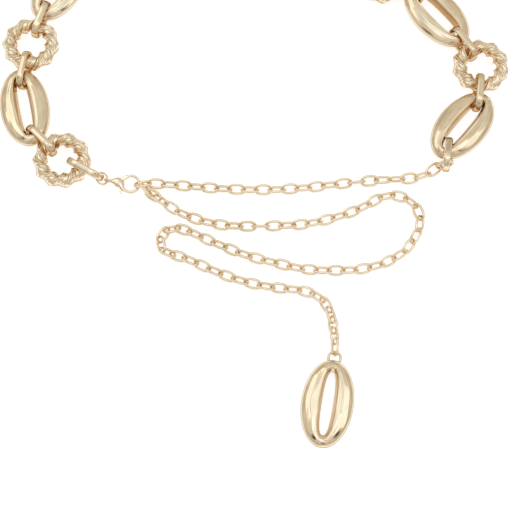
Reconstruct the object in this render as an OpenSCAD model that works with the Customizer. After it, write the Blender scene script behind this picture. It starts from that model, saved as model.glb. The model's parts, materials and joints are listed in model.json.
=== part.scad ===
// Waist chain laid out flat: six twisted rings and six puffed oval links joined by
// flat wire connectors, closed by a lobster clasp that is hooked into a long cable
// chain, whose free tail ends in one more oval.
// X runs to the right, Y up the picture, Z up from the surface that it lies on.

/* [Twisted rings] */
// Outer diameter of a ring over its lobes
ring_od = 29.2; // [26:0.2:32]
// Width of the ring's rope across a lobe
rope_w = 7.6; // [6.8:0.1:8]
// How much thinner the rope is across its waist
rope_waist = 2.2; // [1:0.1:2.8]
// Turns that the rope makes round one ring
rope_turns = 5; // [4:1:6]

/* [Oval links] */
// Length of an oval link
oval_len = 42; // [38:0.5:48]
// Width of an oval link
oval_w = 24.8; // [22:0.2:28]
// Thickness of an oval link at its sides
oval_t = 7.2; // [6:0.1:7.4]
// How much thinner an oval link is at its ends
oval_end_drop = 0.9; // [0.4:0.1:2]
// Length of the slot at its narrowest level
slot_len = 30; // [26:0.5:32]
// Width of the slot at its narrowest level
slot_w = 5.4; // [4:0.2:8]
// How far the slot's rim stands back from the narrowest level
slot_flare = 1.7; // [0.8:0.1:2.4]

/* [Connectors] */
// Width of the flattened wire, seen from above
bar_w = 3.5; // [2.8:0.1:4]
// Thickness of the flattened wire
bar_t = 2; // [1.6:0.1:2.4]
// Play of a connector over the rope
connector_rise = 0.7; // [0.5:0.1:1.2]
// Play of a connector along its length
connector_play = 1.2; // [0.9:0.1:1.6]

/* [Cable chain] */
// Length of a chain link over the wire
link_len = 9.6; // [9:0.1:10.4]
// Width of a chain link over the wire
link_w = 6; // [5.6:0.1:6.6]
// Diameter of the chain's wire
link_wire = 1.3; // [1:0.05:1.4]
// Play between neighbouring links where the chain lies drawn out
link_play = 0.25; // [0.2:0.05:0.5]
// Roll of the links to one side and the other where the chain lies untwisted, in degrees
link_tilt = 42; // [38:1:46]

/* [Clasp] */
// Radius of the clasp's hook, to the middle of its wire
hook_r = 4.3; // [4.1:0.1:4.8]
// Diameter of the hook's wire
hook_wire = 1.4; // [1.2:0.1:1.6]
// Distance from the clasp's eye to the middle of its hook
clasp_reach = 11.8; // [11.4:0.1:12.6]
// Thickness of the clasp's body
clasp_t = 3; // [2.6:0.1:3.4]
// Thickness of the clasp's lever
lever_t = 1.1; // [0.8:0.1:1.3]
// Diameter of the lever's pin
pin_d = 0.9; // [0.7:0.1:1]
// Outer diameter of the clasp's eye
eye_od = 3.8; // [3.6:0.1:4.2]
// Outer diameter of the jump ring
jump_od = 7; // [6.8:0.1:7.6]
// Diameter of the wire of the jump ring and the eye
jump_wire = 1; // [0.8:0.05:1.1]

/* [Pendant] */
// Outer diameter of the pendant's eye
pendant_eye_od = 7.2; // [6.8:0.1:8]
// How far the pendant's eye stands out from the oval's end
pendant_eye_out = 4.8; // [4.5:0.1:5.2]
// Diameter of the wire of the pendant's eye
pendant_eye_wire = 1.3; // [1:0.1:1.4]

/* [Hidden] */

GOLD = [0.87, 0.78, 0.62];
PALE_GOLD = [0.93, 0.87, 0.73];
$fn = 48;

// Running clearance between pieces that hold each other
gap = 0.25;

// Where the first ring lies
first_ring_at = [-96.26, 4.23];

// Headings along the strand, in degrees from +X: the connector that leaves a ring,
// the oval link that it holds, and the connector that goes on to the next ring
STRAND = [
    [146, 103, 74],
    [75, 61, 22],
    [-3, -5, -6],
    [-8, -9, -11],
    [-26, -50, -58],
    [-88, -130, -130]
];
LEAVES = 0;
LIES = 1;
GOES_ON = 2;

// Rolls of the eleven connectors about their own length, in degrees
CONNECTOR_ROLLS = [6, 5, 5, 4, 4, -4, 4, -4, -5, 6, -3];

// Heading, roll and pitch of the connectors at the strand's two ends, in degrees
clasp_connector_heading = -29;
clasp_connector_bearing = -22;
clasp_connector_roll = 13;
clasp_connector_pitch = 0;
end_connector_heading = -104;
end_connector_roll = 9.4;
end_connector_pitch = -29.9;

// Where the end connector's middle lies from the middle of the last oval's end bar
end_connector_aside = [3, -2.4];

// How far the middle of the clasp's connector lies outside the middle of the rope
clasp_connector_out = 2.1;
// How far the jump ring has slid over the connector's end bar, and how far to its left
jump_seat = 1.05;
jump_aside = 0.46;

// Heading of the clasp from its eye to its hook, and tilt of the jump ring, in degrees
clasp_heading = -9;
jump_tilt = 33.5;
// How far the clasp's eye lies above the surface, carried by the jump ring and the chain
eye_lift = 0.1;
// Angles where the hook's wire begins and ends, and where the chain is hooked on
hook_start = -130;
hook_end = 105;
hooked_angle = 5;
// Where the lever turns and where its tab's end lies, from the clasp's eye
pivot_at = [5.6, 1];
tab_at = [7.6, -5.3];
// How far the lever opens, in degrees, and its play in its slot and on its pin
lever_swing = 25;
lever_play = 0.1;

// Angles round the hook's middle between which the clasp's body follows the hook's inside
leaf_from = 165;
leaf_to = 250;
// Outline of the clasp's body on its upper and lower edge, from the eye to the hook
BODY_TOP = [[1, 0.8], [3, 1.5], [4.2, 2.35], [5.2, 2.7], [6.2, 2.5], [7.2, 1.8]];
BODY_BOTTOM = [[9.8, -4.75], [8.4, -4.35], [6.8, -3.5], [5.2, -2.5], [3, -1.4], [1, -0.8]];

// First links at the hook. Each row holds the middle's offset from the hooked point
// along X and Y, its height, and the link's roll, pitch and heading.
FRONT_FIRST = [[1.9, 0.15, 2.3, -43.5, -2.5, 6.5], [8.75, 0.3, 2.35, 43, 2, -3]];
TAIL_FIRST = [
    [3.55, -3.05, 3.25, -64, 8, -48],
    [7.2, -5.7, 2.05, 35, 0, -30],
    [11.15, -8.5, 2.4, -44, 0, -38]
];

// Last links at the end connector, the same way, as offsets from that connector's middle
FRONT_LAST = [[-6.45, -6.06, 2.99, 14.2, -4.9, 35.4], [-0.92, -3.66, 4.12, 71.4, -13.9, 12]];

// Way of the front chain from the hook's links to the last link, as shares of the straight
// span: how far along it, and how far to its left
FRONT_WAY = [
    [0, 0], [0.11, -0.014], [0.2, -0.025], [0.3, -0.034], [0.42, -0.039], [0.52, -0.037],
    [0.62, -0.031], [0.72, -0.024], [0.82, -0.0185], [0.89, -0.0185], [0.95, -0.016], [1, 0]
];

// Way of the tail chain from the hook to the pendant: places from the hooked point, and
// how far the links are drawn out there (1 is straight, less is bunched)
TAIL_WAY = [
    [22.4, -15.8, 1], [34.2, -19.8, 1], [47, -21.9, 1],
    [66, -22, 1], [85.6, -20.4, 1], [104.8, -15.1, 1], [115.8, -9.6, 1], [122.5, -6.1, 1],
    [129, -5.9, 1], [136, -9.2, 1], [139.8, -15.5, 1], [139.2, -22.8, 1], [132.6, -33.8, 1],
    [121.9, -40.6, 1], [109.1, -44.1, 1], [95.5, -44.6, 1], [82, -43.9, 1], [68.7, -40.9, 1],
    [55.6, -37.5, 1], [43.4, -32.8, 1], [31.4, -27.5, 1], [24.5, -24.2, 0.95],
    [18.4, -22.9, 0.88], [12.6, -25.2, 0.88], [11, -31, 0.88], [14.2, -36, 0.88],
    [20.4, -37, 0.95], [30, -41.2, 1], [42.3, -46.7, 1], [55, -50.9, 1], [68.4, -53.4, 1],
    [79.5, -54.5, 1], [87.6, -57, 0.95], [92.5, -61.6, 0.85], [94.8, -67, 0.8], [95.8, -74, 0.8],
    [96.3, -79, 0.8], [96.2, -85.2, 0.85]
];
// Heading of the pendant from its eye down
pendant_heading = -100;

function heading(a) = [cos(a), sin(a)];
function ellipse_support(a, b, angle) = sqrt(pow(a * cos(angle), 2) + pow(b * sin(angle), 2));

// Sizes worked out from the driving sizes
rope_mid_r = (ring_od - rope_w) / 2;
end_bar = (oval_len - slot_len) / 2;
oval_arm = (oval_len - end_bar) / 2;
connector_h = rope_w + connector_rise + 2 * bar_t;
connector_len = rope_w + end_bar + slot_w / 2 + 1.5 * bar_t + connector_play;
strand_z = connector_h / 2;

// Distance from a ring's middle to the middle of the oval's end bar that lies against it
function hold(angle) =
    ring_od / 2 + gap + ellipse_support(oval_len / 2, oval_w / 2, angle) - oval_arm * cos(angle);

// Middles of the rings and oval links, walked from the first ring
function strand_rings(i = 0, at = first_ring_at) =
    i == len(STRAND) - 1 ? [at] : concat([at], strand_rings(i + 1, next_ring(i, at)));
function next_ring(i, at) =
    oval_at(i, at) + oval_arm * heading(STRAND[i][LIES])
    + hold(STRAND[i][GOES_ON] - STRAND[i][LIES]) * heading(STRAND[i][GOES_ON]);
function oval_at(i, at) =
    at + hold(STRAND[i][LIES] - STRAND[i][LEAVES]) * heading(STRAND[i][LEAVES])
    + oval_arm * heading(STRAND[i][LIES]);
RINGS = strand_rings();
OVALS = [for (i = [0:len(STRAND) - 1]) oval_at(i, RINGS[i])];

// Middle of the round end of an oval's slot, at its near (-1) or far (+1) end
function slot_end(i, side) =
    OVALS[i] + side * ((slot_len - slot_w) / 2 - 2 * gap) * heading(STRAND[i][LIES]);

// Connectors run from a ring's middle to the slot's round end. The even ones leave a ring,
// the odd ones go on to the next. Each row holds the ring's middle and the slot's end.
CONNECTOR_LINES = [
    for (i = [0:2 * len(STRAND) - 2])
    let (row = floor(i / 2))
    i % 2 == 0 ? [RINGS[row], slot_end(row, -1)] : [RINGS[row + 1], slot_end(row, 1)]
];
function connector_heading(i) =
    let (run = CONNECTOR_LINES[i][1] - CONNECTOR_LINES[i][0]) atan2(run[1], run[0]);
function connector_at(i) =
    CONNECTOR_LINES[i][1] - (connector_len - bar_t) / 2 * heading(connector_heading(i));

// Height of the middle of a connector that stands on the surface, rolled and pitched. The
// flat's edge lies a share of the wire's width from its middle.
bar_edge = 0.4;
rest_gap = 0.06;
function loop_rise(roll, pitch = 0) =
    connector_h / 2 * cos(roll) + bar_edge * bar_w * abs(sin(roll))
    + (connector_len - connector_h) / 2 * abs(sin(pitch)) + rest_gap;

// Middle of the clasp's connector and of its end bar, of the jump ring, the clasp's eye
// and the place where the first link is hooked on
clasp_connector_at = RINGS[0]
    + (rope_mid_r + clasp_connector_out) * heading(clasp_connector_bearing);
clasp_bar_at = clasp_connector_at + (connector_len - bar_t) / 2 * heading(clasp_connector_heading);
jump_in_r = jump_od / 2 - jump_wire;
jump_at = clasp_bar_at + (jump_in_r * cos(jump_tilt) - bar_t / 2 - jump_seat) * heading(clasp_heading)
    + jump_aside * heading(clasp_heading + 90);
clasp_at = jump_at + ((jump_od - jump_wire) / 2 * cos(jump_tilt)) * heading(clasp_heading);
clasp_z = eye_od / 2 + eye_lift;
jump_z = clasp_z + (jump_od - jump_wire) / 2 * sin(jump_tilt);
hook_at = clasp_at + clasp_reach * heading(clasp_heading) + hook_r * heading(clasp_heading + hooked_angle);
lever_rest_end = hook_end + (hook_wire / 2 + gap) / hook_r * 180 / PI;
lever_tip = [clasp_reach, 0] + hook_r * heading(lever_rest_end);

// The last oval's near end bar, which the end connector holds, and where the chain is held
last_bar_at = OVALS[5] + oval_arm * heading(STRAND[5][LIES]);
end_connector_at = last_bar_at + end_connector_aside;

// Least height of a link's middle for its roll
function touch(roll) = (link_w - link_wire) / 2 * abs(sin(roll)) + link_wire / 2;

// Point of a smooth curve through p1 and p2, a share t on from p1
function between(p0, p1, p2, p3, t) =
    0.5 * (2 * p1 + (p2 - p0) * t + (2 * p0 - 5 * p1 + 4 * p2 - p3) * t * t
    + (3 * p1 - p0 - 3 * p2 + p3) * t * t * t);
function smooth(way, steps = 8) = concat(
    [
        for (i = [0:len(way) - 2], k = [0:steps - 1])
        between(way[max(i - 1, 0)], way[i], way[i + 1], way[min(i + 2, len(way) - 1)], k / steps)
    ],
    [way[len(way) - 1]]
);

// Distance along a way at each of its points, longer where the third value bunches the links
function reach_along(line) = [
    for (i = 0, s = 0; i < len(line);
        s = s + (i + 1 < len(line) ? norm([for (k = [0, 1]) line[i + 1][k] - line[i][k]])
            * 2 / (line[i][2] + line[i + 1][2]) : 0),
        i = i + 1)
    s
];

// Joints between the links of a chain that follows a way, evenly spaced
function joints(way, count) =
    let (
        line = smooth(way),
        s = reach_along(line),
        xs = [for (i = [0:len(line) - 1]) [s[i], line[i][0]]],
        ys = [for (i = [0:len(line) - 1]) [s[i], line[i][1]]],
        total = s[len(s) - 1]
    )
    [for (k = [0:count]) [lookup(total * k / count, xs), lookup(total * k / count, ys)]];
function way_length(way) = let (s = reach_along(smooth(way))) s[len(s) - 1];

// Least number of links for a length, odd or even
link_pitch = link_len - 2 * link_wire - link_play;
function link_count(length, odd) = 2 * ceil((length / link_pitch - odd) / 2) + odd;

// Where the joint after the last of the hook's own links lies
function run_start(table) =
    let (row = table[len(table) - 1])
    [hook_at[0] + row[0], hook_at[1] + row[1]] + link_pitch / 2 * heading(row[5]);

// Ways in place
front_from = run_start(FRONT_FIRST);
front_to = end_connector_at + [FRONT_LAST[0][0], FRONT_LAST[0][1]]
    - link_pitch / 2 * heading(FRONT_LAST[0][5]);
front_span = front_to - front_from;
front_left = [-front_span[1], front_span[0]];
FRONT_LINE = [
    for (p = FRONT_WAY)
    let (at = front_from + p[0] * front_span + p[1] * front_left) [at[0], at[1], 1]
];
tail_from = run_start(TAIL_FIRST);
TAIL_LINE = concat(
    [[tail_from[0], tail_from[1], 1]],
    [for (p = TAIL_WAY) [hook_at[0] + p[0], hook_at[1] + p[1], p[2]]]
);
FRONT_JOINTS = joints(FRONT_LINE, link_count(way_length(FRONT_LINE), 0));
TAIL_JOINTS = joints(TAIL_LINE, link_count(way_length(TAIL_LINE), 1));

// Links of a run that the chain's own twist has rolled further: number and roll in degrees
FRONT_TWISTED = [[14, -74], [15, 30], [16, -34], [17, 84], [18, 16], [19, -50]];
TAIL_TWISTED = [[7, -74], [62, 58]];
function link_roll(k, side, twisted) =
    let (own = [for (row = twisted) if (row[0] == k) row[1]])
    len(own) > 0 ? own[0] : (k % 2 == 0 ? side : -side) * link_tilt;

// Height of a link's middle, so that it and its neighbours stay above the surface. A
// neighbour may hang lower by the droop.
link_droop = 0.1;
function link_z(k, count, side, twisted) = max([
    for (j = [max(k - 2, 0):min(k + 2, count - 1)])
    touch(link_roll(j, side, twisted)) - link_droop * abs(k - j)
]);

// Surface of the rope that makes a twisted ring
module twisted_ring() {
    around = 12 * rope_turns;
    across = 12;
    points = [
        for (i = [0:around - 1], j = [0:across - 1])
        let (
            turn = 360 * i / around,
            side = -360 * j / across,
            lobe = side - rope_turns * turn,
            r = rope_w / 2 - rope_waist / 2 * (1 - cos(2 * lobe)) / 2,
            out = rope_mid_r + r * cos(side)
        )
        [out * cos(turn), out * sin(turn), r * sin(side)]
    ];
    polyhedron(points, tube_faces(around, across), convexity = 6);
}

// Triangles of a closed tube of points, around * across of them, split along the twist
function tube_faces(around, across) = [
    for (i = [0:around - 1], j = [0:across - 1])
    let (
        a = i * across + j,
        b = i * across + (j + 1) % across,
        c = ((i + 1) % around) * across + (j + 1) % across,
        d = ((i + 1) % around) * across + j
    )
    each [[a, c, b], [a, d, c]]
];

// Half of an oval link's section, from the slot out to the edge. The first number is 0 at the
// slot's narrowest level, 1 at its rim and 2 at the edge, the second a share of half the height.
OVAL_SECTION = [[0, 0], [0.55, 0.72], [1, 0.97], [1.25, 0.99], [1.6, 0.8], [1.88, 0.46], [2, 0]];

// A point of a rounded long hole or rim, squarer than an ellipse as the power rises
slot_power = 2.7;
rim_power = 2.4;
function rounded(a, b, power, angle) = [
    a * sign(cos(angle)) * pow(abs(cos(angle)), 2 / power),
    b * sign(sin(angle)) * pow(abs(sin(angle)), 2 / power)
];

// Puffed oval with a long slot, lying in XY with its length along X
module puffed_oval() {
    around = 32;
    half = len(OVAL_SECTION);
    section = concat(
        OVAL_SECTION,
        [for (k = [half - 2:-1:1]) [OVAL_SECTION[k][0], -OVAL_SECTION[k][1]]]
    );
    across = len(section);
    points = [
        for (i = [0:around - 1], row = section)
        let (
            turn = 360 * i / around,
            waist = rounded(slot_len / 2, slot_w / 2, slot_power, turn),
            rim = rounded(slot_len / 2 + slot_flare, slot_w / 2 + slot_flare, rim_power, turn),
            edge = rounded(oval_len / 2, oval_w / 2, 2, turn),
            at = row[0] < 1 ? waist + (rim - waist) * row[0] : rim + (edge - rim) * (row[0] - 1),
            half_t = (oval_t - oval_end_drop * pow(cos(turn), 2)) / 2
        )
        [at[0], at[1], half_t * row[1]]
    ];
    polyhedron(points, tube_faces(around, across), convexity = 6);
}

// Round-ended loop of wire in XZ, its length along X and its profile child 0
module wire_loop(length, height, thickness) {
    bend_r = (height - thickness) / 2;
    straight = length - height;
    rotate([90, 0, 0]) {
        for (side = [0, 180])
            rotate(side)
                translate([straight / 2, 0])
                    rotate_extrude(angle = 180, start = -90)
                        translate([bend_r, 0])
                            children();
        for (side = [-1, 1])
            translate([0, side * bend_r, 0])
                rotate([0, 90, 0])
                    rotate(90)
                        linear_extrude(straight, center = true)
                            children();
    }
}

module connector() {
    wire_loop(connector_len, connector_h, bar_t)
        intersection() {
            circle(d = bar_w);
            square([bar_t, bar_w], center = true);
        }
}

module chain_link() {
    rotate([90, 0, 0])
        wire_loop(link_len, link_w, link_wire)
            circle(d = link_wire);
}

// A flat connector that stands on the surface, rolled about its length and pitched down
module placed_connector(at, angle, roll, pitch = 0) {
    color(GOLD)
        translate([at[0], at[1], loop_rise(roll, pitch)])
            rotate([roll, pitch, angle])
                connector();
}

// A link of the cable chain by its middle, height, roll, pitch and heading
module placed_link(at, z, roll, pitch, angle) {
    translate([at[0], at[1], z])
        rotate([roll, pitch, angle])
            chain_link();
}

// Links between the joints of a way, the first rolled to the given side (1 or -1)
module link_run(nodes, side, twisted) {
    count = len(nodes) - 1;
    for (k = [0:count - 1])
        let (a = nodes[k], b = nodes[k + 1])
            placed_link((a + b) / 2, link_z(k, count, side, twisted), link_roll(k, side, twisted), 0,
                atan2(b[1] - a[1], b[0] - a[0]));
}

// The links at the hook or a connector, from a table of their places
module held_links(table, at) {
    for (row = table)
        placed_link([at[0] + row[0], at[1] + row[1]], row[2], row[3], row[4], row[5]);
}

hub_r = 1.2;
tip_r = 0.65;
tab_r = 0.45;

// Points of an arc about a point, from one angle to another
function arc(at, r, from, to, steps = 6) =
    [for (k = [0:steps]) at + r * heading(from + (to - from) * k / steps)];
function bearing(to) = atan2(to[1] - pivot_at[1], to[0] - pivot_at[0]);

// Outline of the lever: one arm to the hook's end, the other to the tab. The lever may be
// drawn grown all round and swung open by an angle, which widens it into the space it sweeps.
module lever_outline(grow = 0, swing = 0) {
    to_tip = bearing(lever_tip);
    to_tab = bearing(tab_at);
    between_arms = to_tip - to_tab;
    open_tip = to_tip - swing;
    open_tab = to_tab - swing;
    tip_reach = norm(lever_tip - pivot_at);
    tab_reach = norm(tab_at - pivot_at);
    corner_reach = (hub_r + grow) / sin((between_arms - swing) / 2);
    polygon(concat(
        arc(pivot_at + tip_reach * heading(open_tip), tip_r + grow, open_tip - 90, open_tip),
        arc(pivot_at + tip_reach * heading(to_tip), tip_r + grow, to_tip, to_tip + 90),
        arc(pivot_at, hub_r + grow, to_tip + 90, open_tab + 270),
        arc(pivot_at + tab_reach * heading(open_tab), tab_r + grow, open_tab - 90, open_tab),
        arc(pivot_at + tab_reach * heading(to_tab), tab_r + grow, to_tab, to_tab + 90),
        [pivot_at + corner_reach * heading((to_tip + open_tab) / 2)]
    ));
}

module lever_slot() {
    slot_h = lever_t + 2 * lever_play;
    translate([0, 0, -slot_h / 2])
        linear_extrude(slot_h)
            lever_outline(1.5 * lever_play, lever_swing);
}

// Leaf-shaped body, open round the hook's middle
module clasp_leaf() {
    inner_r = hook_r - hook_wire / 2;
    translate([0, 0, -clasp_t / 2])
        linear_extrude(clasp_t)
            polygon(concat(
                BODY_TOP,
                arc([clasp_reach, 0], inner_r, leaf_from, leaf_to, 8),
                BODY_BOTTOM
            ));
}

module placed_on_clasp() {
    translate([clasp_at[0], clasp_at[1], clasp_z])
        rotate(clasp_heading)
            children();
}

module wire_ring(od, wire) {
    rotate_extrude()
        translate([(od - wire) / 2, 0])
            circle(d = wire);
}

module ring_piece(i) {
    color(GOLD)
        translate([RINGS[i][0], RINGS[i][1], strand_z])
            rotate(STRAND[i][LEAVES])
                twisted_ring();
}

module oval_piece(i) {
    color(GOLD)
        translate([OVALS[i][0], OVALS[i][1], strand_z])
            rotate(STRAND[i][LIES])
                puffed_oval();
}

module connector_piece(i) placed_connector(connector_at(i), connector_heading(i), CONNECTOR_ROLLS[i]);

module twist_ring_1() ring_piece(0);
module twist_ring_2() ring_piece(1);
module twist_ring_3() ring_piece(2);
module twist_ring_4() ring_piece(3);
module twist_ring_5() ring_piece(4);
module twist_ring_6() ring_piece(5);

module oval_link_1() oval_piece(0);
module oval_link_2() oval_piece(1);
module oval_link_3() oval_piece(2);
module oval_link_4() oval_piece(3);
module oval_link_5() oval_piece(4);
module oval_link_6() oval_piece(5);

module connector_1() connector_piece(0);
module connector_2() connector_piece(1);
module connector_3() connector_piece(2);
module connector_4() connector_piece(3);
module connector_5() connector_piece(4);
module connector_6() connector_piece(5);
module connector_7() connector_piece(6);
module connector_8() connector_piece(7);
module connector_9() connector_piece(8);
module connector_10() connector_piece(9);
module connector_11() connector_piece(10);

module clasp_connector()
    placed_connector(
        clasp_connector_at, clasp_connector_heading, clasp_connector_roll, clasp_connector_pitch
    );

module end_connector()
    placed_connector(end_connector_at, end_connector_heading, end_connector_roll, end_connector_pitch);

module jump_ring() {
    color(PALE_GOLD)
        translate([jump_at[0], jump_at[1], jump_z])
            rotate([0, jump_tilt, clasp_heading])
                wire_ring(jump_od, jump_wire);
}

module clasp_body() {
    color(PALE_GOLD)
        placed_on_clasp() {
            rotate([90, 0, 0])
                wire_ring(eye_od, jump_wire);
            difference() {
                clasp_leaf();
                lever_slot();
            }
            translate([pivot_at[0], pivot_at[1], -clasp_t / 2])
                cylinder(d = pin_d, h = clasp_t);
            translate([clasp_reach, 0, 0])
                rotate_extrude(angle = hook_end - hook_start, start = hook_start)
                    translate([hook_r, 0])
                        circle(d = hook_wire);
        }
}

module clasp_lever() {
    color(PALE_GOLD)
        placed_on_clasp()
            difference() {
                translate([0, 0, -lever_t / 2])
                    linear_extrude(lever_t)
                        lever_outline();
                translate([pivot_at[0], pivot_at[1], -lever_t])
                    cylinder(d = pin_d + 2 * lever_play, h = 2 * lever_t);
            }
}

module front_chain() {
    color(PALE_GOLD) {
        held_links(FRONT_FIRST, hook_at);
        link_run(FRONT_JOINTS, -1, FRONT_TWISTED);
        held_links(FRONT_LAST, end_connector_at);
    }
}

module tail_chain() {
    color(PALE_GOLD) {
        held_links(TAIL_FIRST, hook_at);
        link_run(TAIL_JOINTS, 1, TAIL_TWISTED);
    }
}

// The pendant's eye lies flat round the last link's end, whose wire's middle is tail_end
last_run = TAIL_JOINTS[len(TAIL_JOINTS) - 1] - TAIL_JOINTS[len(TAIL_JOINTS) - 2];
tail_end = TAIL_JOINTS[len(TAIL_JOINTS) - 1] + ((link_len - link_wire) / norm(last_run) - 1) / 2 * last_run;
last_link = len(TAIL_JOINTS) - 2;
pendant_eye_z = link_z(last_link, last_link + 1, 1, TAIL_TWISTED);
pendant_eye_tip = tail_end
    - ((link_wire + link_play) / 2 + pendant_eye_wire) * heading(pendant_heading);
pendant_eye_at = pendant_eye_tip + pendant_eye_od / 2 * heading(pendant_heading);
pendant_at = pendant_eye_tip + (pendant_eye_out + oval_len / 2) * heading(pendant_heading);
module pendant_oval() {
    color(GOLD) {
        translate([pendant_at[0], pendant_at[1], oval_t / 2])
            rotate(pendant_heading)
                puffed_oval();
        translate([pendant_eye_at[0], pendant_eye_at[1], pendant_eye_z])
            wire_ring(pendant_eye_od, pendant_eye_wire);
    }
}

twist_ring_1();
twist_ring_2();
twist_ring_3();
twist_ring_4();
twist_ring_5();
twist_ring_6();
oval_link_1();
oval_link_2();
oval_link_3();
oval_link_4();
oval_link_5();
oval_link_6();
connector_1();
connector_2();
connector_3();
connector_4();
connector_5();
connector_6();
connector_7();
connector_8();
connector_9();
connector_10();
connector_11();
end_connector();
clasp_connector();
jump_ring();
clasp_body();
clasp_lever();
front_chain();
tail_chain();
pendant_oval();
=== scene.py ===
import json
import math

import bmesh
import bpy
import numpy as np
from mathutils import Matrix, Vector

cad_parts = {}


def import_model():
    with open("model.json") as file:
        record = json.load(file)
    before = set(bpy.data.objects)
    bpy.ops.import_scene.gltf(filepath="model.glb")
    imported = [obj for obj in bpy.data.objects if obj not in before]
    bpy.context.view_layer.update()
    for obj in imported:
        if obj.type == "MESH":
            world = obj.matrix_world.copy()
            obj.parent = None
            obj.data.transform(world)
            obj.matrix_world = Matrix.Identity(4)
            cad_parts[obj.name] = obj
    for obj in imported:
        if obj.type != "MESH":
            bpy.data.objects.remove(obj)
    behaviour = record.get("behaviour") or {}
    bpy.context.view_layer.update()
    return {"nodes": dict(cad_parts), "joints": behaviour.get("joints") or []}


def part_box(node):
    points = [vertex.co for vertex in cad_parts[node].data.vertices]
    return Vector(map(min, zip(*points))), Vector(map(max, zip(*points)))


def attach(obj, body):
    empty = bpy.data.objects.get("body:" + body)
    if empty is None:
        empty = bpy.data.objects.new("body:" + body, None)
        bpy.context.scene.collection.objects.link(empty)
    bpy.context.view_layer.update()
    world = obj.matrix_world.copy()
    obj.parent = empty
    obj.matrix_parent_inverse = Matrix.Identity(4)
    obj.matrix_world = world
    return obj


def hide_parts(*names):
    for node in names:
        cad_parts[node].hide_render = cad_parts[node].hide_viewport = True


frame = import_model()

MM = 0.001
TURN = 2 * math.pi
# A quarter turn, in degrees
QUARTER = 90

# Rings and ovals of the strand, and the connectors between them
RINGS = 6
CONNECTORS = 11

# Sizes that the pieces share with the solids, in millimetres and degrees
RING_OD = 29.2
ROPE_W = 7.6
ROPE_WAIST = 2.2
ROPE_MID_R = (RING_OD - ROPE_W) / 2
ROPE_TURNS, ROPE_LOBES = 5, 2
OVAL_LEN, OVAL_W, OVAL_T, OVAL_END_DROP = 42, 24.8, 7.2, 0.9
SLOT_LEN, SLOT_W, SLOT_FLARE = 30, 5.4, 1.7
BAR_W, BAR_T = 3.5, 2
CONNECTOR_LEN, CONNECTOR_H = 20.5, 12.3
LINK_LEN, LINK_W, LINK_WIRE = 9.6, 6, 1.3
JUMP_OD, JUMP_WIRE = 7, 1
PENDANT_EYE_OD, PENDANT_EYE_WIRE, PENDANT_EYE_OUT = 7.2, 1.3, 4.8
EYE_OD = 3.8
HOOK_R, HOOK_WIRE, CLASP_REACH = 4.3, 1.4, 11.8
HOOK_END = 105
LEVER_T, LEVER_PLAY, LEVER_GAP, LEVER_SWING = 1.1, 0.1, 0.25, 25
HUB_R, TIP_R, TAB_R = 1.2, 0.65, 0.45
PIN_D = 0.9
PIVOT = np.array([5.6, 1.0])
TAB_AT = np.array([7.6, -5.3])
CLASP_HEADING = -9

# Camera, from the first ring's middle to the floor point that it looks at, in millimetres
FIRST_RING_TO_TARGET = (96.0, -47.0)
CAMERA_DISTANCE = 550
CAMERA_ELEVATION = 74
FOCAL_PIXELS = 1115.6
FRAME_PIXELS = 508
SENSOR = 36
# Nearest point that the camera shows, in metres
CLIP_START = 0.01


# Meshes

# Corners of a solid that round to the same step, in millimetres, are one corner
CORNER_STEP = 1e-4
# Power that makes a long round an ellipse; a higher one is squarer
ELLIPSE = 2


def grid_object(name, points, capped=False):
    """Object whose surface runs through rows of points, in millimetres. Each row is closed. The
    last row joins the first, or with caps a face closes each of the two."""
    rows, columns = points.shape[:2]
    faces = []
    for i in range(rows - 1 if capped else rows):
        for j in range(columns):
            here, beside = i * columns + j, i * columns + (j + 1) % columns
            next_row = ((i + 1) % rows) * columns
            faces.append((here, next_row + j, next_row + (j + 1) % columns, beside))
    if capped:
        faces.append(tuple(range(columns)))
        faces.append(tuple((rows - 1) * columns + j for j in reversed(range(columns))))
    mesh = bpy.data.meshes.new(name)
    mesh.from_pydata((points.reshape(-1, 3) * MM).tolist(), [], faces)
    return finish_object(name, mesh)


def finish_object(name, mesh):
    """Object in the scene, with even outward normals and smooth faces."""
    bm = bmesh.new()
    bm.from_mesh(mesh)
    bmesh.ops.recalc_face_normals(bm, faces=bm.faces)
    bm.to_mesh(mesh)
    bm.free()
    mesh.polygons.foreach_set("use_smooth", [True] * len(mesh.polygons))
    piece = bpy.data.objects.new(name, mesh)
    bpy.context.scene.collection.objects.link(piece)
    return piece


def joined(name, parts):
    """One object out of several, which are used up."""
    bm = bmesh.new()
    for part in parts:
        bm.from_mesh(part.data)
        bpy.data.objects.remove(part)
    mesh = bpy.data.meshes.new(name)
    bm.to_mesh(mesh)
    bm.free()
    return finish_object(name, mesh)


def node_mesh(node):
    """Vertices, in millimetres, and triangles of a solid."""
    mesh = frame["nodes"][node].data
    mesh.calc_loop_triangles()
    vertices = np.array([v.co for v in mesh.vertices]) / MM
    triangles = np.array([t.vertices[:] for t in mesh.loop_triangles])
    return vertices, triangles


def placing(vertices, triangles):
    """Middle and axes of a surface, the longest first, by area."""
    corners = vertices[triangles]
    sides = corners[:, 1] - corners[:, 0], corners[:, 2] - corners[:, 0]
    area = np.linalg.norm(np.cross(*sides), axis=1) / 2
    middle = (corners.mean(1) * area[:, None]).sum(0) / area.sum()
    local = corners - middle
    total = local.sum(1)
    spread = np.einsum("n,nki,nkj->ij", area, local, local) + np.einsum("n,ni,nj->ij", area, total, total)
    axes = np.linalg.eigh(spread)[1][:, ::-1].T
    if np.dot(np.cross(axes[0], axes[1]), axes[2]) < 0:
        axes[2] = -axes[2]
    return middle, axes


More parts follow.
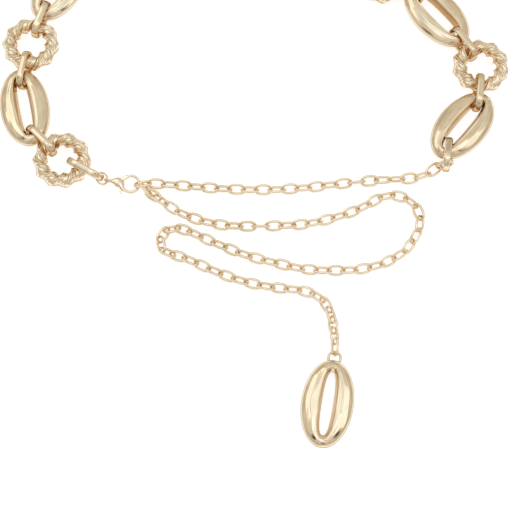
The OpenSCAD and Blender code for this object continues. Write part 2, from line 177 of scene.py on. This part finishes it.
def loose_parts(vertices, triangles):
    """The separate solids of a node, as (vertices, triangles)."""
    keys = {}
    rounded_off = np.round(vertices / CORNER_STEP).astype(int)
    same = np.array([keys.setdefault(tuple(k), len(keys)) for k in rounded_off])
    parent = list(range(len(keys)))

    def root(i):
        while parent[i] != i:
            parent[i] = parent[parent[i]]
            i = parent[i]
        return i

    for a, b, c in same[triangles]:
        parent[root(b)] = root(a)
        parent[root(c)] = root(a)
    group = np.array([root(i) for i in same[triangles[:, 0]]])
    return [(vertices, triangles[group == g]) for g in dict.fromkeys(group.tolist())]


def placed(points, middle, axes):
    """Points of a piece's own frame, where the piece lies."""
    return points @ axes + middle


def turns(steps):
    """Angles of one whole turn, in even steps."""
    return np.linspace(0, TURN, steps, endpoint=False)


def rounded(a, b, power, angle):
    """Points of a long round, squarer than an ellipse as the power rises."""
    c, s = np.cos(angle), np.sin(angle)
    return np.stack([
        a * np.sign(c) * np.abs(c) ** (2 / power),
        b * np.sign(s) * np.abs(s) ** (2 / power)
    ], -1)


def circle(d, steps):
    """Points of a circle of a given diameter."""
    return rounded(d / 2, d / 2, ELLIPSE, turns(steps))


def stadium(length, height, arc_steps, straight_steps):
    """Closed path of a loop with two round ends, by its outline."""
    r = height / 2
    s = (length - height) / 2
    turn = np.linspace(-math.pi / 2, math.pi / 2, arc_steps)
    right = np.stack([s + r * np.cos(turn), r * np.sin(turn)], 1)
    along = np.linspace(s, -s, straight_steps + 2)[1:-1]
    top = np.stack([along, np.full_like(along, r)], 1)
    half = np.concatenate([right, top])
    return np.concatenate([half, -half])


def tube(path, profile):
    """Grid of points of a profile (out, up) swept round a closed flat path (x, y)."""
    ahead = np.roll(path, -1, 0) - np.roll(path, 1, 0)
    ahead /= np.linalg.norm(ahead, axis=1, keepdims=True)
    out = np.stack([ahead[:, 1], -ahead[:, 0]], 1)
    flat = path[:, None, :] + out[:, None, :] * profile[None, :, :1]
    up = np.broadcast_to(profile[None, :, 1:], flat.shape[:2] + (1,))
    return np.concatenate([flat, up], -1)


# Points from one row of a table to the next
ROW_STEPS = 4


def smooth_way(table):
    """Smooth curve through the rows of a table."""
    points = np.asarray(table, float)
    padded = np.concatenate([points[:1], points, points[-1:]])
    rows = []
    for i in range(len(points) - 1):
        p0, p1, p2, p3 = padded[i:i + 4]
        for t in np.arange(ROW_STEPS) / ROW_STEPS:
            rows.append(0.5 * (2 * p1 + (p2 - p0) * t + (2 * p0 - 5 * p1 + 4 * p2 - p3) * t * t
                               + (3 * p1 - p0 - 3 * p2 + p3) * t ** 3))
    rows.append(points[-1])
    return np.array(rows)


# Materials

WHITE = (1, 1, 1)
# Painted shade by ambient occlusion: how far a crease darkens, in millimetres, its samples, and the open
# shares of its three tones
CREASE_REACH, CREASE_SAMPLES = 13, 8
CREASE_DEEP, CREASE_SIDE, CREASE_TOP = 0.25, 0.7, 0.97
# Painted shade on the flanks: its colour, and the upward share of the normal at which it starts and ends
PAINTED_FLANK_SHADE = (0.76, 0.68, 0.58)
FLANK_LOW, FLANK_HIGH = 0.05, 0.42
# Slow change of tone: scale and detail of its noise, and the noise at its darkest and its clear tone
PATCH_SCALE, PATCH_DETAIL = 45.0, 3.0
PATCH_TONE = (0.93, 0.90, 0.85)
PATCH_LOW, PATCH_HIGH = 0.35, 0.6
# Least and most roughness over the patches, as shares of a material's own
SMOOTHEST, ROUGHEST = 0.75, 1.3
# Polishing marks: scale and detail of their noise, and their depth in millimetres
MARK_SCALE, MARK_DETAIL, MARK_DEPTH = 900.0, 2.0, 0.4
SPECULAR_LEVEL = 0.5
# Tint of the plate at grazing angles, for the cast pieces and connectors, and for the rest
CAST_EDGE = (0.46, 0.36, 0.26)
CHAIN_EDGE = (0.86, 0.70, 0.50)


def ramp(tree, value, stops):
    """Colour that follows a value through a table of (position, colour)."""
    node = tree.nodes.new("ShaderNodeValToRGB")
    elements = node.color_ramp.elements
    for position, colour in stops[2:]:
        elements.new(position)
    for element, (position, colour) in zip(elements, stops):
        element.position = position
        element.color = (*colour, 1)
    tree.links.new(value, node.inputs["Fac"])
    return node.outputs["Color"]


def noise(tree, place, scale, detail):
    """Noise by place, about 0.5."""
    node = tree.nodes.new("ShaderNodeTexNoise")
    node.inputs["Scale"].default_value = scale
    node.inputs["Detail"].default_value = detail
    tree.links.new(place, node.inputs["Vector"])
    return node.outputs["Fac"]


def ranged(tree, value, start, end, low, high, way="LINEAR"):
    """Value that goes from low to high as another goes from start to end."""
    node = tree.nodes.new("ShaderNodeMapRange")
    node.interpolation_type = way
    node.inputs["From Min"].default_value = start
    node.inputs["From Max"].default_value = end
    node.inputs["To Min"].default_value = low
    node.inputs["To Max"].default_value = high
    tree.links.new(value, node.inputs["Value"])
    return node.outputs["Result"]


def multiplied(tree, a, b):
    """Product of two colours."""
    node = tree.nodes.new("ShaderNodeMix")
    node.data_type = "RGBA"
    node.blend_type = "MULTIPLY"
    node.inputs["Factor"].default_value = 1.0
    tree.links.new(a, node.inputs["A"])
    tree.links.new(b, node.inputs["B"])
    return node.outputs["Result"]


def gold(name, top, side, crease_shade, roughness, edge=CAST_EDGE, marks=0.02):
    """Polished plate with painted shade: pale where it is open, painted tan on its sides and warm in
    creases, painted darker where it doesn't face up, with a slow change of tone and faint polishing marks."""
    material = bpy.data.materials.new(name)
    material.use_nodes = True
    tree = material.node_tree
    shader = tree.nodes["Principled BSDF"]
    shader.inputs["Metallic"].default_value = 1.0
    shader.inputs["Specular IOR Level"].default_value = SPECULAR_LEVEL
    shader.inputs["Specular Tint"].default_value = (*edge, 1)

    # Ambient occlusion that drives the painted shade in the base colour
    crease = tree.nodes.new("ShaderNodeAmbientOcclusion")
    crease.inputs["Distance"].default_value = CREASE_REACH * MM
    crease.samples = CREASE_SAMPLES
    place = tree.nodes.new("ShaderNodeTexCoord")
    patches = noise(tree, place.outputs["Object"], PATCH_SCALE, PATCH_DETAIL)
    facing = tree.nodes.new("ShaderNodeSeparateXYZ")
    tree.links.new(place.outputs["Normal"], facing.inputs["Vector"])
    # Painted shade: open parts keep the top colour, and sides and creases take the painted shade colours
    plate = ramp(tree, crease.outputs["AO"], [(CREASE_DEEP, crease_shade), (CREASE_SIDE, side), (CREASE_TOP, top)])
    tone = ramp(tree, patches, [(PATCH_LOW, PATCH_TONE), (PATCH_HIGH, WHITE)])
    # Painted shade: darker where the surface doesn't face up
    flank_shade = ramp(tree, facing.outputs["Z"], [(FLANK_LOW, PAINTED_FLANK_SHADE), (FLANK_HIGH, WHITE)])
    colour = multiplied(tree, multiplied(tree, plate, tone), flank_shade)
    tree.links.new(colour, shader.inputs["Base Color"])

    gloss = ranged(tree, patches, 0, 1, roughness * SMOOTHEST, roughness * ROUGHEST)
    tree.links.new(gloss, shader.inputs["Roughness"])
    relief = tree.nodes.new("ShaderNodeBump")
    relief.inputs["Strength"].default_value = marks
    relief.inputs["Distance"].default_value = MARK_DEPTH * MM
    tree.links.new(noise(tree, place.outputs["Object"], MARK_SCALE, MARK_DETAIL), relief.inputs["Height"])
    tree.links.new(relief.outputs["Normal"], shader.inputs["Normal"])
    return material


# Finishes: colour where open, then the painted shade colours of the sides and of the creases, and
# roughness
CAST = gold("cast_plate", (0.94, 0.84, 0.66), (0.79, 0.65, 0.47), (0.96, 0.80, 0.60), 0.1)
ROPE = gold("rope_plate", (0.96, 0.87, 0.70), (0.96, 0.81, 0.60), (1.0, 0.80, 0.55), 0.12)
WIRE = gold("connector_plate", (0.93, 0.83, 0.64), (0.85, 0.69, 0.48), (0.97, 0.77, 0.53), 0.12)
CHAIN = gold("chain_plate", (0.98, 0.92, 0.78), (0.95, 0.83, 0.64), (0.97, 0.80, 0.57), 0.16,
             edge=CHAIN_EDGE, marks=0.04)
CLASP = gold("clasp_plate", (0.97, 0.89, 0.74), (0.90, 0.77, 0.58), (0.92, 0.72, 0.48), 0.14,
             edge=CHAIN_EDGE)


def dress(piece, material, node):
    """The piece stands for a solid: it takes the solid's body and finish."""
    piece.data.materials.clear()
    piece.data.materials.append(material)
    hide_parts(node)
    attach(piece, "lever" if node == "clasp_lever" else "chain")


# Twisted rings

# Faces round a ring and round its rope
RING_STEPS, ROPE_STEPS = 280, 88
# How much the rope's lobes gain on the solid's, and how much deeper they are parted, in millimetres
ROPE_GROWTH, WAIST_GROWTH = 0.12, 0.2
# Fine ridges along each lobe, and their height in millimetres
RIDGES, RIDGE_H = 4, 0.2
# Powers that shape the waist between the lobes and the ridges
WAIST_POWER, RIDGE_POWER = 1.2, 0.9


def rope_phase(vertices, middle):
    """Where the rope's lobes lie on a ring's solid, as an angle about the rope."""
    flat = vertices - middle
    around = np.arctan2(flat[:, 1], flat[:, 0])
    out = np.hypot(flat[:, 0], flat[:, 1]) - ROPE_MID_R
    side = np.arctan2(flat[:, 2], out)
    r = np.hypot(out, flat[:, 2])
    wave = ((r - r.mean()) * np.exp(-1j * ROPE_LOBES * (side - ROPE_TURNS * around))).sum()
    return -np.angle(wave) / ROPE_LOBES


def twisted_ring(node):
    """Ring of rope with two lobes, which wind round it."""
    low, high = (np.array(c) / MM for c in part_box(node))
    vertices, triangles = node_mesh(node)
    middle = placing(vertices, triangles)[0]
    middle[2] = (low[2] + high[2]) / 2
    around = turns(RING_STEPS)[:, None]
    lobe = turns(ROPE_STEPS)[None, :]
    side = lobe + ROPE_TURNS * around - rope_phase(vertices, middle)
    waist = (ROPE_WAIST / 2 + WAIST_GROWTH) * np.abs(np.sin(lobe)) ** WAIST_POWER
    ridge = RIDGE_H * (1 - np.abs(np.cos(RIDGES * lobe)) ** RIDGE_POWER)
    r = ROPE_W / 2 + ROPE_GROWTH - waist - ridge
    out = ROPE_MID_R + r * np.cos(side)
    points = np.stack([out * np.cos(around), out * np.sin(around), r * np.sin(side)], -1)
    return grid_object(node + "_rope", points + middle)


# Puffed ovals

# Section from the slot's waist to its rim (1) and on to the outer edge (2), with the height as a
# share of half the thickness: a rim round the slot, a faint groove and the dome
OVAL_SECTION = [(0, 0), (0.3, 0.36), (0.58, 0.68), (0.8, 0.9), (0.93, 0.99), (1.01, 0.985), (1.06, 0.935),
                (1.13, 0.965), (1.26, 0.965), (1.4, 0.915), (1.57, 0.81), (1.73, 0.66), (1.86, 0.48),
                (1.95, 0.28), (2, 0)]
# Faces round an oval, and how square its slot is at the waist and at the rim
OVAL_STEPS = 144
SLOT_SQUARE, RIM_SQUARE = 2.7, 2.4
# Heights of the dome's slow ripples and of the fine polishing waves along it, in millimetres
RIPPLE = 0.05
POLISH = 0.035
# Slow ripples: share of the height, waves in a turn, waves out from the slot, shift by number
RIPPLES = [(1, 3, 5, 1.7), (0.6, 8, 9, -1)]
# Polishing waves: their pace out from the slot, and their bends: size, waves in a turn, shift by number
POLISH_WAVES = 23
POLISH_BENDS = [(1.5, 2, 1), (0.7, 7, -2)]


def puffed_oval_points(number):
    """Grid of an oval's surface about its own middle, its length along X. Each number ripples
    in its own way."""
    upper = smooth_way(OVAL_SECTION)
    lower = upper[-2:0:-1] * [1, -1]
    section = np.concatenate([upper, lower])
    turn = turns(OVAL_STEPS)
    waist = rounded(SLOT_LEN / 2, SLOT_W / 2, SLOT_SQUARE, turn)
    rim = rounded(SLOT_LEN / 2 + SLOT_FLARE, SLOT_W / 2 + SLOT_FLARE, RIM_SQUARE, turn)
    edge = rounded(OVAL_LEN / 2, OVAL_W / 2, ELLIPSE, turn)
    half_t = (OVAL_T - OVAL_END_DROP * np.cos(turn) ** 2) / 2
    points = np.zeros((len(turn), len(section), 3))
    for k, (share, height) in enumerate(section):
        points[:, k, :2] = waist + (rim - waist) * share if share < 1 else rim + (edge - rim) * (share - 1)
        ripple = sum(size * np.sin(waves * turn + shift * number + out * share)
                     for size, waves, out, shift in RIPPLES)
        bend = POLISH_WAVES * share
        for size, waves, shift in POLISH_BENDS:
            bend = bend + size * np.sin(waves * turn + shift * number)
        points[:, k, 2] = (half_t + RIPPLE * ripple + POLISH * np.sin(bend)) * height
    return points


def oval(number):
    """Oval of the strand."""
    node = f"oval_link_{number}"
    middle, axes = placing(*node_mesh(node))
    return grid_object(node + "_shell", placed(puffed_oval_points(number), middle, axes))


# Connectors, links and rings of wire

# Faces round a connector's bar, along each of its round ends and along each straight side
BAR_STEPS, END_STEPS, SIDE_STEPS = 28, 18, 6
BAR_SQUARE = 2.7
# Faces round a chain's link and round its wire, and how square the link is
LINK_STEPS, LINK_WIRE_STEPS = 44, 12
LINK_SQUARE = 2.35
# What the plating adds to a link's wire, in millimetres
LINK_PLATE = 0.05
# Faces round an eye or a jump ring and round its wire
EYE_STEPS, EYE_WIRE_STEPS = 56, 14


def connector(node):
    """Loop of flattened wire with two round ends."""
    path = stadium(CONNECTOR_LEN - BAR_T, CONNECTOR_H - BAR_T, END_STEPS, SIDE_STEPS)
    profile = rounded(BAR_T / 2, BAR_W / 2, BAR_SQUARE, turns(BAR_STEPS))
    return grid_object(node + "_wire", placed(tube(path, profile), *placing(*node_mesh(node))))


def cable(node):
    """All links of a chain as one piece."""
    path = rounded((LINK_LEN - LINK_WIRE) / 2, (LINK_W - LINK_WIRE) / 2, LINK_SQUARE, turns(LINK_STEPS))
    link = tube(path, circle(LINK_WIRE + LINK_PLATE, LINK_WIRE_STEPS))
    parts = [grid_object("link", placed(link, *placing(*part))) for part in loose_parts(*node_mesh(node))]
    return joined(node + "_links", parts)


def wire_ring(od, wire):
    """Grid of points of a flat ring of round wire."""
    return tube(circle(od - wire, EYE_STEPS), circle(wire, EYE_WIRE_STEPS))


def jump_ring():
    """Ring between the clasp's eye and its connector."""
    middle, axes = placing(*node_mesh("jump_ring"))
    return grid_object("jump_ring_wire", placed(wire_ring(JUMP_OD, JUMP_WIRE), middle, axes))


# Clasp

# Middle line of the clasp's body up to its hook: x, y, half width, half thickness
BODY_ROWS = [
    (1.1, 0, 0.62, 0.6), (2.2, 0.02, 1.05, 0.9), (3.4, 0.07, 1.65, 1.2), (4.6, 0.12, 2.25, 1.4),
    (5.7, -0.15, 2.4, 1.5), (6.8, -0.95, 2.2, 1.48), (7.75, -2.35, 1.4, 1.25), (8.9, -3.4, 1.0, 0.98)
]
# Angle about the hook's middle at which its rows start, and how many they are
HOOK_FROM, HOOK_ROWS = -108, 16
# Faces round the body, and how square it is there
BODY_STEPS, BODY_SQUARE = 24, 2.2
# Faces round the pin, and half its length in millimetres
PIN_STEPS, PIN_HALF = 20, 1.3
# Points along each round of the lever's outline
ARC_STEPS = 7
# Play at the sides of the lever's slot, as a share of the lever's own
SLOT_PLAY = 1.5
# Bevel of the lever's edges: width in millimetres, faces, and least angle in degrees
BEVEL_W, BEVEL_STEPS, BEVEL_ANGLE = 0.28, 3, 40


def toward(angle):
    """Flat direction at an angle in degrees."""
    return np.array([math.cos(math.radians(angle)), math.sin(math.radians(angle))])


def clasp_place():
    """The clasp's eye and axes, from the lever's hinge."""
    joint = next(j for j in frame["joints"] if j["name"] == "lever_hinge")
    c, s = toward(CLASP_HEADING)
    axes = np.array([[c, s, 0], [-s, c, 0], [0, 0, 1]])
    return np.array(joint["pos_m"]) / MM - np.array([*PIVOT, 0]) @ axes, axes


def prism(name, outline, half_t):
    """Flat plate of the clasp with a given outline."""
    levels = [np.insert(outline, 2, z, axis=1) for z in (-half_t, half_t)]
    return grid_object(name, placed(np.stack(levels), *clasp_place()), capped=True)


def applied(piece):
    """Make the piece's modifiers part of its mesh."""
    evaluated = piece.evaluated_get(bpy.context.evaluated_depsgraph_get())
    mesh = bpy.data.meshes.new_from_object(evaluated)
    piece.modifiers.clear()
    piece.data = mesh


def arc(at, r, start, end):
    """Points of an arc, its angles in degrees."""
    a = np.radians(np.linspace(start, end, ARC_STEPS))
    return np.stack([at[0] + r * np.cos(a), at[1] + r * np.sin(a)], 1)


def lever_outline(grow=0.0, swing=0.0):
    """Outline of the lever, or of the space that it sweeps."""
    tip_angle = HOOK_END + math.degrees((HOOK_WIRE / 2 + LEVER_GAP) / HOOK_R)
    tip = np.array([CLASP_REACH, 0]) + HOOK_R * toward(tip_angle)
    to_tip, to_tab = (math.degrees(math.atan2(*(p - PIVOT)[::-1])) for p in (tip, TAB_AT))
    tip_reach, tab_reach = np.linalg.norm(tip - PIVOT), np.linalg.norm(TAB_AT - PIVOT)
    open_tip, open_tab = to_tip - swing, to_tab - swing
    corner = (HUB_R + grow) / math.sin(math.radians((to_tip - to_tab - swing) / 2))

    def end(reach, angle):
        return PIVOT + reach * toward(angle)

    return np.concatenate([
        arc(end(tip_reach, open_tip), TIP_R + grow, open_tip - QUARTER, open_tip),
        arc(end(tip_reach, to_tip), TIP_R + grow, to_tip, to_tip + QUARTER),
        arc(PIVOT, HUB_R + grow, to_tip + QUARTER, open_tab + 3 * QUARTER),
        arc(end(tab_reach, open_tab), TAB_R + grow, open_tab - QUARTER, open_tab),
        arc(end(tab_reach, to_tab), TAB_R + grow, to_tab, to_tab + QUARTER),
        [end(corner, (to_tip + to_tab - swing) / 2)],
    ])


def cut_slot(leaf):
    """Cut the space that the lever sweeps out of the clasp's body."""
    cutter = prism("slot", lever_outline(SLOT_PLAY * LEVER_PLAY, LEVER_SWING), LEVER_T / 2 + LEVER_PLAY)
    cut = leaf.modifiers.new("slot", "BOOLEAN")
    cut.operation = "DIFFERENCE"
    cut.solver = "EXACT"
    cut.object = cutter
    applied(leaf)
    bpy.data.objects.remove(cutter)


def clasp_body():
    """Leaf-shaped body that runs on into the hook, with its eye and the lever's pin."""
    hook = [
        (CLASP_REACH + HOOK_R * math.cos(a), HOOK_R * math.sin(a), HOOK_WIRE / 2, HOOK_WIRE / 2)
        for a in np.radians(np.linspace(HOOK_FROM, HOOK_END, HOOK_ROWS))
    ]
    rows = smooth_way(BODY_ROWS + hook)
    ahead = np.gradient(rows[:, :2], axis=0)
    ahead /= np.linalg.norm(ahead, axis=1, keepdims=True)
    side = np.stack([-ahead[:, 1], ahead[:, 0]], 1)
    ring = rounded(1, 1, BODY_SQUARE, turns(BODY_STEPS))
    grid = np.zeros((len(rows), len(ring), 3))
    grid[..., :2] = rows[:, None, :2] + side[:, None, :] * ring[None, :, :1] * rows[:, None, 2:3]
    grid[..., 2] = ring[None, :, 1] * rows[:, None, 3]
    leaf = grid_object("clasp_leaf", placed(grid, *clasp_place()), capped=True)
    cut_slot(leaf)
    pin = prism("pin", circle(PIN_D, PIN_STEPS) + PIVOT, PIN_HALF)
    upright_eye = wire_ring(EYE_OD, JUMP_WIRE)[..., [0, 2, 1]]
    eye = grid_object("eye", placed(upright_eye, *clasp_place()))
    return joined("clasp_body_shell", [leaf, eye, pin])


def clasp_lever():
    """Flat plate with bevelled edges, which closes the hook."""
    lever = prism("clasp_lever_plate", lever_outline(), LEVER_T / 2)
    bevel = lever.modifiers.new("edge", "BEVEL")
    bevel.width = BEVEL_W * MM
    bevel.segments = BEVEL_STEPS
    bevel.limit_method = "ANGLE"
    bevel.angle_limit = math.radians(BEVEL_ANGLE)
    applied(lever)
    lever.data.polygons.foreach_set("use_smooth", [True] * len(lever.data.polygons))
    return lever


# Drop

def pendant():
    """Puffed oval with a round eye at its tip, which lies at the tip's height."""
    vertices, triangles = node_mesh("pendant_oval")
    middle, axes = placing(vertices, triangles)
    reach = (vertices - middle) @ axes[0]
    # The eye lies towards the low end of the long axis, where the piece reaches further
    if reach.max() > -reach.min():
        axes = axes * np.array([[-1], [-1], [1]])
        reach = -reach
    middle = middle + axes[0] * (reach.max() - OVAL_LEN / 2)
    shell = grid_object("drop_shell", placed(puffed_oval_points(0), middle, axes))
    eye_middle = middle - axes[0] * (OVAL_LEN / 2 + PENDANT_EYE_OUT - PENDANT_EYE_OD / 2)
    eye_middle[2] = vertices[np.argmin(reach)][2]
    eye = grid_object("drop_eye", wire_ring(PENDANT_EYE_OD, PENDANT_EYE_WIRE) + eye_middle)
    return joined("pendant_oval_shell", [shell, eye])


# Pieces in place

for i in range(1, RINGS + 1):
    dress(twisted_ring(f"twist_ring_{i}"), ROPE, f"twist_ring_{i}")
    dress(oval(i), CAST, f"oval_link_{i}")
for node in [f"connector_{i}" for i in range(1, CONNECTORS + 1)] + ["end_connector", "clasp_connector"]:
    dress(connector(node), WIRE, node)
for node in ("front_chain", "tail_chain"):
    dress(cable(node), CHAIN, node)
dress(jump_ring(), CHAIN, "jump_ring")
dress(clasp_body(), CLASP, "clasp_body")
dress(clasp_lever(), CLASP, "clasp_lever")
dress(pendant(), CAST, "pendant_oval")


# Floor, light and camera

# Half the floor's side, and how far it lies under the chain, in metres
FLOOR_HALF, FLOOR_DROP = 3.0, 0.0001
FLOOR_COLOUR = (0.5, 0.5, 0.5)
FLOOR_ROUGHNESS, FLOOR_SPECULAR = 0.9, 0.1
FLOOR_GLOW, FLOOR_GLOW_STRENGTH = (0.96, 0.98, 1), 0.79
# Colour of the tent by height, from the horizon up: warm at its sides, white overhead
TENT = [
    (0.0, (0.52, 0.45, 0.37)), (0.4, (0.60, 0.54, 0.46)), (0.75, (0.67, 0.62, 0.54)),
    (0.92, (0.74, 0.70, 0.64)), (0.97, (0.98, 0.99, 0.99)), (1.0, (1.25, 1.27, 1.29))
]
# How uneven the tent is: scale and detail of its noise, the noise at its dim and its bright
# places, and the shares of light there
TENT_GRAIN, TENT_DETAIL = 6.0, 2.0
TENT_FROM, TENT_TO = 0.35, 0.65
TENT_LOW, TENT_HIGH = 0.86, 1.22
# Dim gaps in the tent: direction, edge and core as cosines, and the share of light left
GAPS = [
    ((-0.62, -0.38, 0.69), 0.989, 0.997, 0.15),
    ((0.63, -0.36, 0.69), 0.989, 0.997, 0.15),
    ((0.05, -0.80, 0.60), 0.98, 0.995, 0.5)
]
# Lamps that aim at the origin: name, place and size in metres, and power in watts
LAMPS = [
    ("key", (-0.5, 0.35, 0.75), (0.7, 0.5), 0.55),
    ("fill", (0.6, -0.1, 0.7), (0.4, 0.6), 0.35)
]
LAMP_COLOUR = (1, 0.99, 0.97)


def floor():
    """Pale floor that glows a little, so that shadows on it stay soft."""
    around = [(-1, -1), (1, -1), (1, 1), (-1, 1)]
    corners = [(x * FLOOR_HALF, y * FLOOR_HALF, -FLOOR_DROP) for x, y in around]
    mesh = bpy.data.meshes.new("floor")
    mesh.from_pydata(corners, [], [(0, 1, 2, 3)])
    plane = bpy.data.objects.new("floor", mesh)
    bpy.context.scene.collection.objects.link(plane)
    material = bpy.data.materials.new("pale_floor")
    material.use_nodes = True
    shader = material.node_tree.nodes["Principled BSDF"]
    shader.inputs["Base Color"].default_value = (*FLOOR_COLOUR, 1)
    shader.inputs["Roughness"].default_value = FLOOR_ROUGHNESS
    shader.inputs["Specular IOR Level"].default_value = FLOOR_SPECULAR
    shader.inputs["Emission Color"].default_value = (*FLOOR_GLOW, 1)
    shader.inputs["Emission Strength"].default_value = FLOOR_GLOW_STRENGTH
    mesh.materials.append(material)


def world():
    """Warm uneven tent with a white top and a few dim gaps."""
    scene_world = bpy.data.worlds.new("tent")
    bpy.context.scene.world = scene_world
    scene_world.use_nodes = True
    tree = scene_world.node_tree
    back = tree.nodes["Background"]
    place = tree.nodes.new("ShaderNodeTexCoord").outputs["Generated"]
    split = tree.nodes.new("ShaderNodeSeparateXYZ")
    tree.links.new(place, split.inputs["Vector"])
    tree.links.new(ramp(tree, split.outputs["Z"], TENT), back.inputs["Color"])
    grain = noise(tree, place, TENT_GRAIN, TENT_DETAIL)
    light = ranged(tree, grain, TENT_FROM, TENT_TO, TENT_LOW, TENT_HIGH)
    for direction, edge, core, left in GAPS:
        nearness = tree.nodes.new("ShaderNodeVectorMath")
        nearness.operation = "DOT_PRODUCT"
        nearness.inputs[1].default_value = direction
        tree.links.new(place, nearness.inputs[0])
        gap = ranged(tree, nearness.outputs["Value"], edge, core, 1, left, "SMOOTHSTEP")
        both = tree.nodes.new("ShaderNodeMath")
        both.operation = "MULTIPLY"
        tree.links.new(light, both.inputs[0])
        tree.links.new(gap, both.inputs[1])
        light = both.outputs["Value"]
    tree.links.new(light, back.inputs["Strength"])


def look(direction):
    """Rotation of a lamp or camera that looks in a direction."""
    return Vector(direction).to_track_quat("-Z", "Y").to_euler()


def area_light(name, at, size, power):
    """Soft lamp that aims at the origin."""
    data = bpy.data.lights.new(name, "AREA")
    data.shape = "RECTANGLE"
    data.size, data.size_y = size
    data.energy = power
    data.color = LAMP_COLOUR
    lamp = bpy.data.objects.new(name, data)
    bpy.context.scene.collection.objects.link(lamp)
    lamp.location = at
    lamp.rotation_euler = look(-np.array(at))


def camera():
    """Camera at the photo's place and viewing angle."""
    low, high = (np.array(c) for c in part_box("twist_ring_1"))
    target = (low + high) / 2 + np.array([*FIRST_RING_TO_TARGET, 0]) * MM
    target[2] = 0
    elevation = math.radians(CAMERA_ELEVATION)
    back = np.array([0, -math.cos(elevation), math.sin(elevation)])
    data = bpy.data.cameras.new("camera")
    data.sensor_width = SENSOR
    data.lens = FOCAL_PIXELS / FRAME_PIXELS * SENSOR
    data.clip_start = CLIP_START
    data.dof.use_dof = False
    eye = bpy.data.objects.new("camera", data)
    bpy.context.scene.collection.objects.link(eye)
    eye.location = target + back * CAMERA_DISTANCE * MM
    eye.rotation_euler = look(-back)
    bpy.context.scene.camera = eye


floor()
world()
for lamp in LAMPS:
    area_light(*lamp)
camera()
bpy.context.scene.view_settings.view_transform = "Standard"
